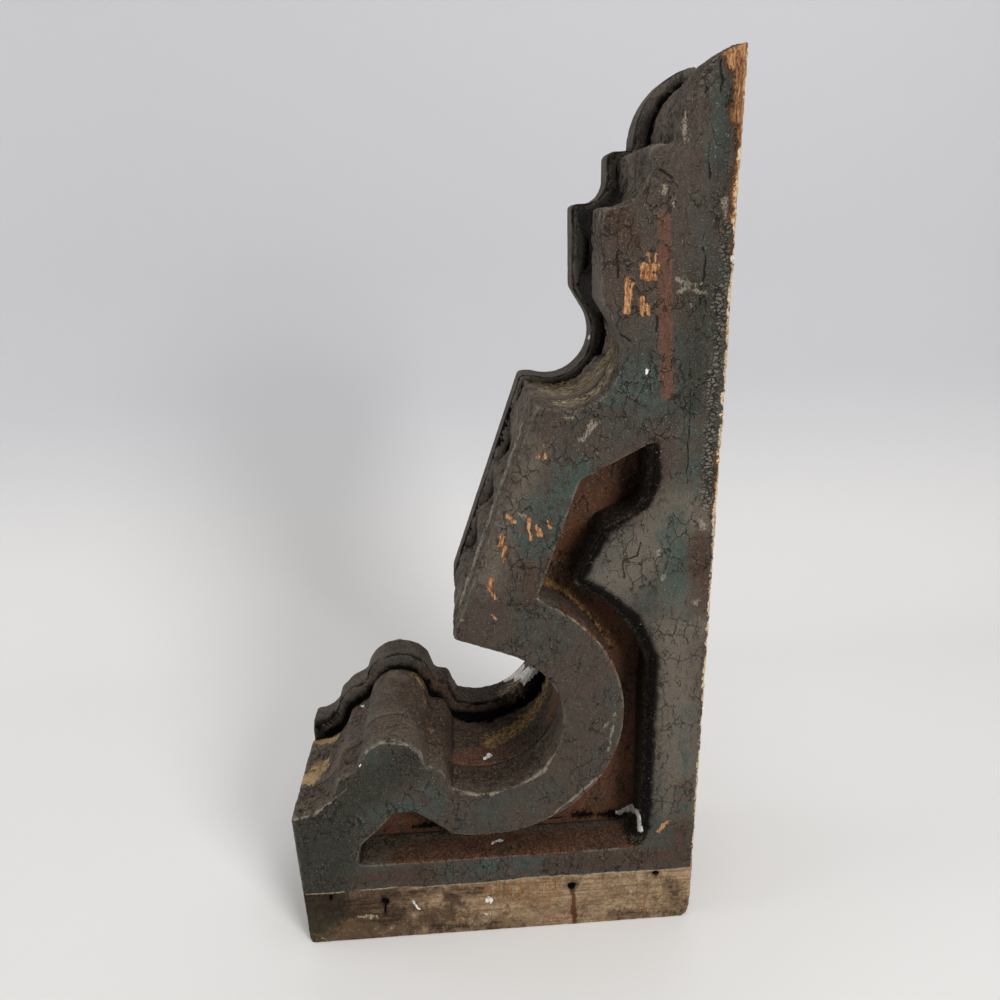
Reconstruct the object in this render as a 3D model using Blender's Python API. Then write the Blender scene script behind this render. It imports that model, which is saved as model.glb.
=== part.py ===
# Eave bracket of three boards glued face to face: a fretted scroll board in front, a thick core
# behind it, and a rim board at the back that stands proud round the crown and the scroll.
#
# The bracket stands on its wide flat end. X runs from the moulded front to the wall side, Y from the
# face with the sunk panel to the plain face, and Z is up. The origin is at the centre of the underside.

import math

import bmesh
import bpy

# Overall size, in metres
DEPTH = 0.345                    # front of the base to the wall side
SCROLL_BOARD = 0.036             # thickness of each board
CORE = 0.071
RIM_BOARD = 0.030
GLUE_GAP = 0.0003

# Profile of the front edge, measured from the front (first value) and the underside (second value)
CROWN_CENTER = (0.3525, 0.653)   # quarter round under the top
CROWN_RADIUS = 0.048
LEDGE_FRONT = 0.285
LEDGE_TOP = 0.645
OGEE_CENTER = (0.263, 0.631)     # hollow under the ledge
OGEE_RADIUS = 0.022
FILLET_FRONT = 0.2555
FILLET_FOOT = 0.552
COVE_CENTER = (0.234, 0.516)     # hollow above the slope
COVE_RADIUS = 0.0375
COVE_START = 36.0                # degrees, measured from the wall side, counter-clockwise
COVE_END = -113.0
SLOPE_TOP = (0.212, 0.483)
TIP = (0.144, 0.303)             # beak between the slope and the big cove
SCROLL_CENTER = (0.1615, 0.2225)
SCROLL_RADIUS = 0.0685           # the big cove
SCROLL_END = -112.0
BEAD_TOP = 0.182
BEAD_EDGE = 0.1295
ROLL_CENTER = (0.088, 0.187)
ROLL_RADIUS = 0.027
SHOULDER = (0.045, 0.1795)       # small step at the foot of the roll
SHOULDER_RISE = 0.0075
LOW_COVE_CENTER = (0.002, 0.1815)
LOW_COVE_RADIUS = 0.0398

# How far the rim board stands proud of the other two
RIM_CROWN_PROUD = 0.005
RIM_SCROLL_PROUD = 0.013

# Chip carving along the front edge of the core
CROWN_SINK = 0.005
NOTCH_DEPTH = 0.009
NOTCH_COUNT = 3
NOTCH_PITCH = 0.0445             # along the slope
NOTCH_FIRST = 0.061              # from the top of the slope to the first notch
NOTCH_RUN_IN = 0.028
NOTCH_RUN_OUT = 0.016
FILLET_NOTCH = (0.562, 0.597)    # lowest and highest point
COVE_SINK = 0.006

# Opening sawn through the scroll board
PANEL_CENTER = (0.1635, 0.226)
PANEL_RADIUS = 0.1163            # outer edge of the scroll band
PANEL_START = -105.0
PANEL_END = 63.5
PANEL_SILL = 0.085
BAND_TOP = (0.2435, 0.427)
BAND_FOOT = (0.2165, 0.350)
BAND_POINT = (0.211, 0.336)      # sharp end of the scroll band
HEAD_WALL = (0.2925, 0.4515)     # upper corner of the opening, behind the rounded edge and at the face
HEAD_FACE = (0.3050, 0.4575)

# Edge of the frame round the opening, behind its rounding and at the face: bay circle, neck, cusp,
# arc above the stile with its first and last angle, stile, and radius of the corner at the sill
WALL_FRAME = (((0.2645, 0.421), 0.028), (0.2610, 0.3885), (0.2365, 0.3420),
              ((0.1635, 0.226), 0.1403, 48.0, 16.0), 0.2965, 0.016)
FACE_FRAME = (((0.2660, 0.433), 0.040), (0.2635, 0.3870), (0.2495, 0.3505),
              ((0.2485, 0.285), 0.0580, 78.0, 0.0), 0.3065, 0.022)
FRAME_ARRIS = 0.010              # rounding of the frame's edge

ARC_STEP = 7.5                   # degrees between points on the small arcs
CUTTER_OVERRUN = 0.005

COLLECTION_NAME = "eave_bracket"


def clear_scene():
    for old in list(bpy.data.objects):
        bpy.data.objects.remove(old, do_unlink=True)


def new_collection(name):
    collection = bpy.data.collections.new(name)
    bpy.context.scene.collection.children.link(collection)
    return collection


def paint(name, color, roughness):
    material = bpy.data.materials.new(name)
    material.use_nodes = True
    shader = material.node_tree.nodes["Principled BSDF"]
    shader.inputs["Base Color"].default_value = (*color, 1.0)
    shader.inputs["Roughness"].default_value = roughness
    shader.inputs["Metallic"].default_value = 0.0
    material.diffuse_color = (*color, 1.0)
    return material


def on_circle(center, radius, degrees):
    angle = math.radians(degrees)
    return (center[0] + radius * math.cos(angle), center[1] + radius * math.sin(angle))


def arc(center, radius, start, end, count=None):
    count = count or max(2, math.ceil(abs(end - start) / ARC_STEP))
    return [on_circle(center, radius, start + (end - start) * i / count) for i in range(count + 1)]


def rounded(before, corner, after, radius, count=3):
    """Arc of a given radius that rounds a corner between two straight runs."""
    ax, az = before[0] - corner[0], before[1] - corner[1]
    bx, bz = after[0] - corner[0], after[1] - corner[1]
    a_length, b_length = math.hypot(ax, az), math.hypot(bx, bz)
    ax, az, bx, bz = ax / a_length, az / a_length, bx / b_length, bz / b_length
    half = math.acos(max(-1.0, min(1.0, ax * bx + az * bz))) / 2
    reach = min(radius / math.tan(half), 0.45 * a_length, 0.45 * b_length)
    start = (corner[0] + ax * reach, corner[1] + az * reach)
    end = (corner[0] + bx * reach, corner[1] + bz * reach)
    points = []
    for i in range(count + 1):
        t = i / count
        points.append(tuple((1 - t) ** 2 * start[k] + 2 * t * (1 - t) * corner[k] + t ** 2 * end[k]
                            for k in range(2)))
    return points


def tangent_angle(point, center, radius):
    """Angle at which the straight underside of the beak leaves the big cove."""
    dx, dz = point[0] - center[0], point[1] - center[1]
    toward = math.degrees(math.atan2(dz, dx))
    return toward - math.degrees(math.acos(radius / math.hypot(dx, dz)))


def crown_outline(proud, sink, carved):
    """From the top of the wall side down to the top of the slope."""
    radius = CROWN_RADIUS + proud - sink
    top_angle = math.degrees(math.acos((DEPTH - CROWN_CENTER[0]) / radius))
    ledge = LEDGE_TOP + proud
    nose = LEDGE_FRONT - proud
    ledge_back = CROWN_CENTER[0] - radius
    hollow = OGEE_RADIUS - proud
    fillet_top = OGEE_CENTER[1] - hollow
    cove = COVE_RADIUS - proud / 2
    cove_top = on_circle(COVE_CENTER, cove, COVE_START)
    fillet = FILLET_FRONT - proud / 2

    points = arc(CROWN_CENTER, radius, top_angle, 180.0)
    points.append((ledge_back, ledge))
    points += rounded((ledge_back, ledge), (nose, ledge), (nose, OGEE_CENTER[1]), 0.005)
    points += arc((nose - hollow, OGEE_CENTER[1]), hollow, 0.0, -90.0)
    points += rounded((nose - hollow, fillet_top), (fillet, fillet_top), (fillet, FILLET_FOOT), 0.004)
    if carved:
        points += fillet_notch()
    points.append((fillet, FILLET_FOOT))
    if carved:
        deep = arc(COVE_CENTER, cove + COVE_SINK, COVE_START - 6.0, -18.0)
        points += [cove_top] + deep + arc(COVE_CENTER, cove, -30.0, COVE_END)
    else:
        points += arc(COVE_CENTER, cove, COVE_START, COVE_END)
    return points


def fillet_notch():
    low, high = FILLET_NOTCH
    lip = (high - low) / 4
    inside = FILLET_FRONT + NOTCH_DEPTH
    return [(FILLET_FRONT, high), (inside, high - lip), (inside, low + lip), (FILLET_FRONT, low)]


def slope_outline(proud, carved):
    """From the top of the slope down to the beak."""
    run = (TIP[0] - SLOPE_TOP[0], TIP[1] - SLOPE_TOP[1])
    length = math.hypot(*run)
    along = (run[0] / length, run[1] / length)
    inward = (-along[1], along[0])
    if inward[0] < 0:
        inward = (along[1], -along[0])

    def at(distance, sink):
        return tuple(SLOPE_TOP[k] + along[k] * distance + inward[k] * sink for k in range(2))

    points = [at(0.0, -proud / 2)]
    if carved:
        for i in range(NOTCH_COUNT):
            notch = NOTCH_FIRST + NOTCH_PITCH * i
            points += [at(notch - NOTCH_RUN_IN, 0.0), at(notch - NOTCH_RUN_IN / 3, NOTCH_DEPTH * 0.75),
                       at(notch, NOTCH_DEPTH), at(notch + NOTCH_RUN_OUT, 0.0)]
    return points


def scroll_outline(proud):
    """From the beak round the big cove, over the bead and the roll, and down to the lip."""
    cove = SCROLL_RADIUS - proud
    bead = BEAD_TOP + proud
    bead_edge = BEAD_EDGE + proud / 3
    roll = ROLL_RADIUS + proud * 0.4
    roll_center = (ROLL_CENTER[0], ROLL_CENTER[1] + proud * 0.6)
    shoulder = (SHOULDER[0] - proud / 3, SHOULDER[1] + proud)
    roll_right = math.degrees(math.asin((bead - roll_center[1]) / roll))
    roll_left = 180.0 - math.degrees(math.asin((shoulder[1] + SHOULDER_RISE - roll_center[1]) / roll))
    low_cove = LOW_COVE_RADIUS - proud
    lip = LOW_COVE_CENTER[1] - low_cove

    leave = tangent_angle(TIP, SCROLL_CENTER, cove)
    cove_arc = arc(SCROLL_CENTER, cove, leave, SCROLL_END)
    roll_arc = arc(roll_center, roll, roll_right, roll_left)
    low_arc = arc(LOW_COVE_CENTER, low_cove, -4.0, -90.0)

    points = rounded(SLOPE_TOP, TIP, cove_arc[0], 0.004)
    points += cove_arc
    points += rounded(cove_arc[-1], (bead_edge, bead), roll_arc[0], 0.003)
    points += roll_arc
    points += rounded(roll_arc[-1], shoulder, low_arc[0], 0.004)
    points += low_arc[:-1]
    points += rounded(low_arc[-2], (0.0, lip), (0.0, 0.0), 0.004)
    return points


def board_outline(crown_proud=0.0, scroll_proud=0.0, crown_sink=0.0, carved=False):
    points = [(0.0, 0.0), (DEPTH, 0.0)]
    points += crown_outline(crown_proud, crown_sink, carved)
    points += slope_outline(crown_proud, carved)
    points += scroll_outline(scroll_proud)
    return points


def board(name, points, near, thickness, material, collection):
    """A flat outline as thick as its board, with its face at near, made a mesh."""
    curve = bpy.data.curves.new(name + "_outline", "CURVE")
    curve.dimensions = "2D"
    curve.fill_mode = "BOTH"
    curve.extrude = thickness / 2
    spline = curve.splines.new("POLY")
    spline.points.add(len(points) - 1)
    for control, point in zip(spline.points, points):
        control.co = (point[0] - DEPTH / 2, point[1], 0.0, 1.0)
    spline.use_cyclic_u = True
    guide = bpy.data.objects.new(name + "_outline", curve)
    guide.location = (0.0, near + thickness / 2, 0.0)
    guide.rotation_euler = (math.radians(90.0), 0.0, 0.0)
    collection.objects.link(guide)
    bpy.context.view_layer.update()

    graph = bpy.context.evaluated_depsgraph_get()
    mesh = bpy.data.meshes.new_from_object(guide.evaluated_get(graph))
    mesh.name = name
    shell = bmesh.new()
    shell.from_mesh(mesh)
    bmesh.ops.remove_doubles(shell, verts=shell.verts, dist=0.00001)
    bmesh.ops.recalc_face_normals(shell, faces=shell.faces)
    shell.to_mesh(mesh)
    shell.free()
    mesh.materials.clear()
    mesh.materials.append(material)
    solid = bpy.data.objects.new(name, mesh)
    solid.matrix_world = guide.matrix_world.copy()
    collection.objects.link(solid)
    bpy.data.objects.remove(guide, do_unlink=True)
    return solid


def frame_line(bay, neck, cusp, arc_part, stile, corner_radius):
    """The frame's side of the opening, from the head down to the sill."""
    bay_points = arc(*bay, 0.0, -75.0, 8)
    arc_points = arc(*arc_part, 9)
    last = (stile, 0.140)
    points = bay_points
    points += rounded(bay_points[-1], neck, cusp, 0.008)
    points += rounded(neck, cusp, arc_points[0], 0.006)
    points += arc_points
    points += [(stile, 0.240), (stile, 0.190), last]
    points += rounded(last, (stile, PANEL_SILL), (0.2, PANEL_SILL), corner_radius, 4)
    return points


def band_line():
    """The sawn side of the opening, from the sill up round the scroll band to its head."""
    wing = ((0.0865, 0.1400), (0.1040, 0.1395))
    band_arc = arc(PANEL_CENTER, PANEL_RADIUS, PANEL_START, PANEL_END, 33)
    points = [(0.0515, PANEL_SILL), (0.0525, 0.0980), (0.0560, 0.1080), (0.0705, 0.1215)]
    points += rounded(points[-1], wing[0], wing[1], 0.006)
    points += rounded(wing[0], wing[1], band_arc[0], 0.010)
    points += band_arc
    points += [BAND_POINT, BAND_FOOT, BAND_TOP]
    return points


def panel_cutter(near, collection):
    """The opening, lofted from in front of the board to behind it, flared to round the frame's edge."""
    band = band_line()
    wall = frame_line(*WALL_FRAME)
    face = frame_line(*FACE_FRAME)
    rings = [(-CUTTER_OVERRUN, 1.0)]
    for i in range(5):
        angle = math.radians(90.0 * i / 4)
        rings.append((FRAME_ARRIS * (1 - math.cos(angle)), 1 - math.sin(angle)))
    rings.append((SCROLL_BOARD + CUTTER_OVERRUN, 0.0))

    shell = bmesh.new()
    loops = []
    for depth, flare in rings:
        head = (HEAD_WALL[0] + (HEAD_FACE[0] - HEAD_WALL[0]) * flare,
                HEAD_WALL[1] + (HEAD_FACE[1] - HEAD_WALL[1]) * flare)
        frame = [(w[0] + (f[0] - w[0]) * flare, w[1] + (f[1] - w[1]) * flare) for w, f in zip(wall, face)]
        outline = band + [head] + frame
        loops.append([shell.verts.new((x - DEPTH / 2, near + depth, z)) for x, z in outline])
    count = len(loops[0])
    for loop, deeper in zip(loops, loops[1:]):
        for i in range(count):
            j = (i + 1) % count
            shell.faces.new((loop[i], loop[j], deeper[j], deeper[i]))
    shell.faces.new(loops[0][::-1])
    shell.faces.new(loops[-1])
    bmesh.ops.recalc_face_normals(shell, faces=shell.faces)
    mesh = bpy.data.meshes.new("panel_cutter")
    shell.to_mesh(mesh)
    shell.free()
    cutter = bpy.data.objects.new("panel_cutter", mesh)
    cutter.hide_render = True
    cutter.display_type = "WIRE"
    collection.objects.link(cutter)
    return cutter


def build():
    clear_scene()
    parts = new_collection(COLLECTION_NAME)
    cutters = new_collection("cutters")
    green = paint("weathered_green_paint", (0.075, 0.082, 0.072), 0.62)
    brown = paint("red_brown_paint", (0.105, 0.052, 0.042), 0.66)
    shadow_green = paint("grimed_green_paint", (0.062, 0.062, 0.056), 0.68)

    total = SCROLL_BOARD + CORE + RIM_BOARD + 2 * GLUE_GAP
    near = -total / 2
    core_near = near + SCROLL_BOARD + GLUE_GAP
    rim_near = core_near + CORE + GLUE_GAP

    scroll_board = board("scroll_board", board_outline(), near, SCROLL_BOARD, green, parts)
    opening = scroll_board.modifiers.new("panel_opening", "BOOLEAN")
    opening.operation = "DIFFERENCE"
    opening.solver = "EXACT"
    opening.object = panel_cutter(near, cutters)

    core_points = board_outline(crown_sink=CROWN_SINK, carved=True)
    board("core_board", core_points, core_near, CORE, brown, parts)

    rim_points = board_outline(crown_proud=RIM_CROWN_PROUD, scroll_proud=RIM_SCROLL_PROUD)
    board("rim_board", rim_points, rim_near, RIM_BOARD, shadow_green, parts)


build()
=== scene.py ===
import math
from collections import Counter

import bmesh
import bpy
import numpy as np
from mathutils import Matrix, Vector, kdtree, noise


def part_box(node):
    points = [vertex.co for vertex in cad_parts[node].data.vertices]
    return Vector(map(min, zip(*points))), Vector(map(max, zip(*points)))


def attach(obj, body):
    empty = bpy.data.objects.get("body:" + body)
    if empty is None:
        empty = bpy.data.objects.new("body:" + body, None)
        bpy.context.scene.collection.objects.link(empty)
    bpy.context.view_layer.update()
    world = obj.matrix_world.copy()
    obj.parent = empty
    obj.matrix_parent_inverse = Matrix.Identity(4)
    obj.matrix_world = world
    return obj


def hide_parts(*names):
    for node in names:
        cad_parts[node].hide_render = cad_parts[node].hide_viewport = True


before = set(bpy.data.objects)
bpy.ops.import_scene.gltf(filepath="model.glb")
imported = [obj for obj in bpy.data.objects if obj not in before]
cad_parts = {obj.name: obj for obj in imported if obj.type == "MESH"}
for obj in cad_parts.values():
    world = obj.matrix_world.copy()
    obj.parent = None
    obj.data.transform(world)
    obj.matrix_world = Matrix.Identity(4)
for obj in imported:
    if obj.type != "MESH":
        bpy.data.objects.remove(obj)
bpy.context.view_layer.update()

# measures of all the boards, in millimetres
perMetre = 1000.0
nearFace, backEdge = -68.8, 172.5
outOfReach = 30.0     # what a point is outside a stroke at most
snugGap = 1.8         # how far round a small mark the mesh is split finer
noiseSizes = {"coarse": 26.0, "fine": 7.0, "grit": 2.6, "wander": 16.0, "crumbs": 4.5, "sway": 9.0}
handSway = 1.3        # how far a stroke wanders
wear = {
    "arris": (0.35, 1.5),      # bulge at which an arris starts to wear, and wears fully
    "jointGuard": (1.5, 6.0),  # the wear fades out between these distances from a glued face
    "fine": 0.16, "coarse": 0.25, "lumps": 0.8, "gnawing": 0.75,
    "blackEnd": (158.0, 171.0),  # the black of the joint fades out towards the back edge
}


def shade(red, green, blue):
    # screen colour from 0 to 255 into linear light
    return tuple((c / 255 / 12.92) if c <= 10 else ((c / 255 + 0.055) / 1.055) ** 2.4
                 for c in (red, green, blue))


# shader helpers

class Wire:
    # a shader value that can stand in a sum
    def __init__(self, tree, socket):
        self.tree = tree
        self.socket = socket

    def calc(self, operation, first, second):
        node = self.tree.nodes.new("ShaderNodeMath")
        node.operation = operation
        for index, value in enumerate((first, second)):
            if isinstance(value, Wire):
                self.tree.links.new(value.socket, node.inputs[index])
            else:
                node.inputs[index].default_value = value
        return Wire(self.tree, node.outputs[0])

    def __add__(self, other):
        return self.calc("ADD", self, other)

    def __radd__(self, other):
        return self.calc("ADD", other, self)

    def __sub__(self, other):
        return self.calc("SUBTRACT", self, other)

    def __rsub__(self, other):
        return self.calc("SUBTRACT", other, self)

    def __mul__(self, other):
        return self.calc("MULTIPLY", self, other)

    def __rmul__(self, other):
        return self.calc("MULTIPLY", other, self)


class Finish:
    # one material, built a node at a time
    def __init__(self, name):
        self.material = bpy.data.materials.new(name)
        self.material.use_nodes = True
        self.tree = self.material.node_tree
        self.tree.nodes.clear()
        self.place = self.put("ShaderNodeTexCoord", output="Object")

    def put(self, kind, settings=None, sockets=None, output=0):
        node = self.tree.nodes.new(kind)
        for key, value in (settings or {}).items():
            setattr(node, key, value)
        for key, value in (sockets or {}).items():
            socket = node.inputs[key]
            if isinstance(value, Wire):
                self.tree.links.new(value.socket, socket)
            elif socket.type == "RGBA":
                socket.default_value = (*value, 1.0)
            else:
                socket.default_value = value
        return Wire(self.tree, node.outputs[output]) if len(node.outputs) else None

    def field(self, name):
        return self.put("ShaderNodeAttribute", {"attribute_name": name}, output="Fac")

    def axes(self, vector):
        return [self.put("ShaderNodeSeparateXYZ", sockets={0: vector}, output=i) for i in range(3)]

    def step(self, value, low, high, start=0.0, end=1.0):
        return self.put("ShaderNodeMapRange", {"interpolation_type": "SMOOTHSTEP"},
                        {"Value": value, "From Min": low, "From Max": high, "To Min": start, "To Max": end})

    def mix(self, factor, first, second):
        # sockets 6 and 7 are the colours of a Mix node, and output 2 is its colour
        return self.put("ShaderNodeMix", {"data_type": "RGBA"}, {0: factor, 6: first, 7: second}, output=2)

    def stretch(self, scale, shift):
        return self.put("ShaderNodeMapping", None,
                        {"Vector": self.place, "Scale": scale, "Location": shift})

    def cloud(self, size, detail, scale=(1.0, 1.0, 1.0), shift=(0.0, 0.0, 0.0), rough=0.55):
        # noise whose blots are about size millimetres across, 0 to 1
        return self.put("ShaderNodeTexNoise", None, {"Vector": self.stretch(scale, shift),
                        "Scale": perMetre / size, "Detail": detail, "Roughness": rough})

    def cracks(self, size, scale, warp, shift=(0.0, 0.0, 0.0)):
        # distance to the nearest edge of a net of cells, in cells
        vector = self.stretch(scale, shift)
        vector = self.put("ShaderNodeVectorMath", {"operation": "ADD"}, {0: vector, 1: warp})
        return self.put("ShaderNodeTexVoronoi", {"feature": "DISTANCE_TO_EDGE"},
                        {"Vector": vector, "Scale": perMetre / size}, output="Distance")


# working with a dense board

def distanceTo(points, start, end):
    # from each point to the line between two places; a place given as x, z lies on the near face
    a, b = (np.array(p if len(p) == 3 else (p[0], nearFace, p[1]), float) for p in (start, end))
    run = b - a
    along = np.clip(((points - a) @ run) / max(run @ run, 1e-9), 0, 1)
    return np.linalg.norm(points - a - along[:, None] * run, axis=1)


def refine(mesh, marks, cuts=2):
    # splits the faces under small marks, so that chips and nail holes keep their outline
    work = bmesh.new()
    work.from_mesh(mesh)
    middles = np.array([(e.verts[0].co + e.verts[1].co) * (perMetre / 2) for e in work.edges])
    close = np.zeros(len(middles), bool)
    for start, end, radius in marks:
        close |= distanceTo(middles, start, end) < radius + snugGap
    work.edges.ensure_lookup_table()
    chosen = [work.edges[i] for i in np.nonzero(close)[0]]
    bmesh.ops.subdivide_edges(work, edges=chosen, cuts=cuts, use_grid_fill=True, use_only_quads=False)
    work.to_mesh(mesh)
    work.free()


def denseBoard(nodeName, pieceName, voxel):
    # an even mesh of one CAD board, fine enough to wear down
    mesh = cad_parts[nodeName].data.copy()
    work = bmesh.new()
    work.from_mesh(mesh)
    bmesh.ops.remove_doubles(work, verts=work.verts, dist=1e-5)
    bmesh.ops.dissolve_limit(work, angle_limit=math.radians(0.5), verts=work.verts, edges=work.edges)
    work.to_mesh(mesh)
    work.free()
    board = bpy.data.objects.new(pieceName, mesh)
    bpy.context.scene.collection.objects.link(board)
    dense = board.modifiers.new("dense", "REMESH")
    dense.mode = "VOXEL"
    dense.voxel_size = voxel
    dense.use_smooth_shade = True
    snug = board.modifiers.new("snug", "SHRINKWRAP")
    snug.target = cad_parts[nodeName]
    snug.wrap_method = "NEAREST_SURFACEPOINT"
    depsgraph = bpy.context.evaluated_depsgraph_get()
    board.data = bpy.data.meshes.new_from_object(board.evaluated_get(depsgraph))
    board.modifiers.clear()
    board.data.name = pieceName
    return board


class Surface:
    # the points of a board, in millimetres, with the sums that wear needs
    def __init__(self, board):
        self.mesh = board.data
        self.count = len(self.mesh.vertices)
        flat = np.empty(self.count * 3)
        self.mesh.vertices.foreach_get("co", flat)
        self.points = flat.reshape(-1, 3) * perMetre
        pairs = np.empty(len(self.mesh.edges) * 2, int)
        self.mesh.edges.foreach_get("vertices", pairs)
        self.ends = pairs.reshape(-1, 2)
        self.degree = np.bincount(pairs, minlength=self.count)[:, None]
        self.sway = 0.0

    def around(self, values):
        # mean over the neighbours of each point
        total = np.zeros_like(values)
        for a, b in (self.ends.T, self.ends.T[::-1]):
            for k in range(values.shape[1]):
                total[:, k] += np.bincount(a, values[b, k], self.count)
        return total / self.degree

    def soften(self, values, rounds, amount=0.5):
        for _ in range(rounds):
            values = values + amount * (self.around(values) - values)
        return values

    def fair(self, rounds):
        # smooths the steps out of the mesh without shrinking it
        for _ in range(rounds):
            self.points = self.points + 0.5 * (self.around(self.points) - self.points)
            self.points = self.points - 0.52 * (self.around(self.points) - self.points)

    def normals(self):
        self.write()
        flat = np.empty(self.count * 3)
        self.mesh.vertices.foreach_get("normal", flat)
        return flat.reshape(-1, 3)

    def noise(self, kind, seed, octaves=3):
        # one height for each point
        size, shift = noiseSizes[kind], Vector((seed * 3.7, seed * 1.3, seed * 7.1))
        return np.array([noise.fractal(Vector(p) / size + shift, 0.9, 2.0, octaves) for p in self.points])

    def strokes(self, marks, sway=1.0):
        # how deep a point lies inside the nearest stroke; a mark is two ends and a half width
        best = np.full(self.count, -outOfReach)
        places = self.points + self.sway * sway
        for start, end, radius in marks:
            best = np.maximum(best, radius - distanceTo(places, start, end))
        return best

    def keep(self, name, values):
        layer = self.mesh.attributes.get(name) or self.mesh.attributes.new(name, "FLOAT", "POINT")
        layer.data.foreach_set("value", values.astype(np.float32))

    def write(self):
        self.mesh.vertices.foreach_set("co", (self.points / perMetre).ravel())
        self.mesh.update()


def ramp(value, low, high):
    # 0 below low, 1 above high, and smooth between them
    t = np.clip((value - low) / (high - low), 0, 1)
    return t * t * (3 - 2 * t)


def blendAlong(points, stations):
    # values at given places (x, z, values...) spread smoothly over the board
    table = np.array(stations, float)
    away = ((points[:, None, (0, 2)] - table[None, :, :2]) ** 2).sum(2)
    weight = 1.0 / (away + 60.0) ** 1.6
    weight /= weight.sum(1, keepdims=True)
    return weight @ table[:, 2:]


def eatJoint(surface, look, normal, bulge, inside):
    # the eaten strip beside the joint: how far it moves each point, and how deep a point lies in its black,
    # which is soot and painted shade
    width, depth = blendAlong(surface.points, look["crack"]).T
    away = np.abs(surface.points[:, 1] - look["crackSide"])
    seam = width * look["seamShare"] - away - outOfReach * ramp(surface.points[:, 0], *wear["blackEnd"])
    if look["rim"]:
        seam -= outOfReach * ramp(np.abs(normal[:, 1]), 0.5, 0.8)
    wander = (surface.noise("wander", look["seed"] + 5) * 0.7
              + 0.6 * surface.noise("crumbs", look["seed"] + 6, 2))
    width = np.maximum(width * (1 + wander), 0.8)
    front = ramp(backEdge - surface.points[:, 0], 2.0, 10.0) * ramp(surface.points[:, 2], 4.0, 14.0)
    edge = 1 - ramp(np.abs(normal[:, 1]), 0.55, 0.85)
    besideIt = inside & (away < 1)
    edge[besideIt] = ramp(bulge, 0.5, 1.0)[besideIt]
    sink = front * ramp(1.1 - away / width, 0.0, 0.5) * depth * (1 + 0.45 * wander) * edge
    flat = normal.copy()
    flat[:, 1] = 0
    flat = surface.soften(flat, 6)
    flat /= np.maximum(np.linalg.norm(flat, axis=1, keepdims=True), 1e-6)
    dent = -flat * np.maximum(sink, 0)[:, None]
    loose = inside & (sink < 0.2)
    for _ in range(30):
        dent[loose] = surface.around(dent)[loose]
    return dent, seam


def blackenInnerFace(surface, look, normal, bulge, fromJoint, seam):
    # black where the board beside it has broken away from its inner face: soot and painted shade on the
    # exposed face
    arris = np.nonzero((bulge > 0.6) & (fromJoint < 2.5) & (np.abs(normal[:, 1]) < 0.9))[0]
    tree = kdtree.KDTree(len(arris))
    for i in arris:
        tree.insert(surface.points[i], int(i))
    tree.balance()
    margin = blendAlong(surface.points, look["rim"])[:, 0]
    for i in np.nonzero(fromJoint < 1.2)[0]:
        inward = tree.find(surface.points[i])[2]
        seam[i] = max(seam[i], inward - margin[i])
        surface.shown[i] = look["rimShown"] - inward


def wearBoard(surface, look):
    # rounds the arrises, roughens the faces, eats the joint edge away and sinks the chips
    surface.fair(look["fairing"])
    surface.points = surface.soften(surface.points, look["softening"])
    melt = ramp(surface.strokes(look["melt"]), -4.0, 1.0)[:, None]
    for _ in range(look["meltRounds"]):
        surface.points = surface.points + melt * 0.6 * (surface.around(surface.points) - surface.points)
    normal = surface.normals()
    bulge = ((surface.points - surface.soften(surface.points, 12, 0.7)) * normal).sum(1)
    bulge = surface.soften(bulge[:, None], 2)[:, 0]
    inside = np.zeros(surface.count, bool)
    fromJoint = np.full(surface.count, outOfReach)
    for plane in look["hidden"]:
        fromPlane = np.abs(surface.points[:, 1] - plane)
        inside |= fromPlane < 0.35
        fromJoint = np.minimum(fromJoint, fromPlane)
    outer = 1.0 - surface.soften(inside.astype(float)[:, None], 1)[:, 0]
    outer[inside] = 0.0
    free = ramp(fromJoint, *wear["jointGuard"])
    coarse = surface.noise("coarse", look["seed"])
    fine = surface.noise("fine", look["seed"] + 1)
    grit = surface.noise("grit", look["seed"] + 2, 2)
    worn = np.clip(0.35 + 1.1 * fine + 0.8 * coarse, 0, 2.2)
    push = -ramp(bulge, *wear["arris"]) * worn * look["arrisWear"] * free
    push += wear["fine"] * fine + wear["coarse"] * coarse * look["waves"]
    push += grit * look["grit"]
    lumpy = ramp(surface.strokes(look.get("rough", ())), -10.0, 6.0)
    push += lumpy * (np.clip(1.7 * fine + 1.1 * grit, -1.5, 0.7) - 0.2) * wear["lumps"]
    gnawed = ramp(surface.strokes(look.get("gnawed", ())), -3.0, 1.0)
    push -= gnawed * np.clip(0.25 + 1.9 * grit + 1.6 * fine, 0, 2.4) * wear["gnawing"]
    for name, depth in look["sunk"]:
        push -= depth * ramp(look["marks"][name] + 1.2 * fine, -0.4, 0.6)
    move = normal * push[:, None] * outer[:, None]
    groove = np.zeros(surface.count)
    seam = np.full(surface.count, -outOfReach)
    if look["crack"]:
        dent, seam = eatJoint(surface, look, normal, bulge, inside)
        move += dent
        groove = ramp(np.linalg.norm(dent, axis=1), 0.5, 4.0)
    if look["rim"]:
        blackenInnerFace(surface, look, normal, bulge, fromJoint, seam)
    surface.points = np.clip(surface.points + move, look["low"], look["high"])
    normal = surface.normals()
    pits = -((surface.points - surface.soften(surface.points, 5, 0.6)) * normal).sum(1)
    surface.keep("worn", ramp(bulge, 0.25, 1.5) * free)
    # how deep a point lies in a hollow; the paint darkens the hollows with dirt and painted shade
    hollow = np.maximum(ramp(-bulge, 0.25, 1.3), ramp(pits, 0.06, 0.40))
    surface.keep("deep", hollow * ramp(fromJoint, 0.5, 2.0))
    surface.keep("groove", groove)
    surface.keep("seam", seam)


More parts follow.
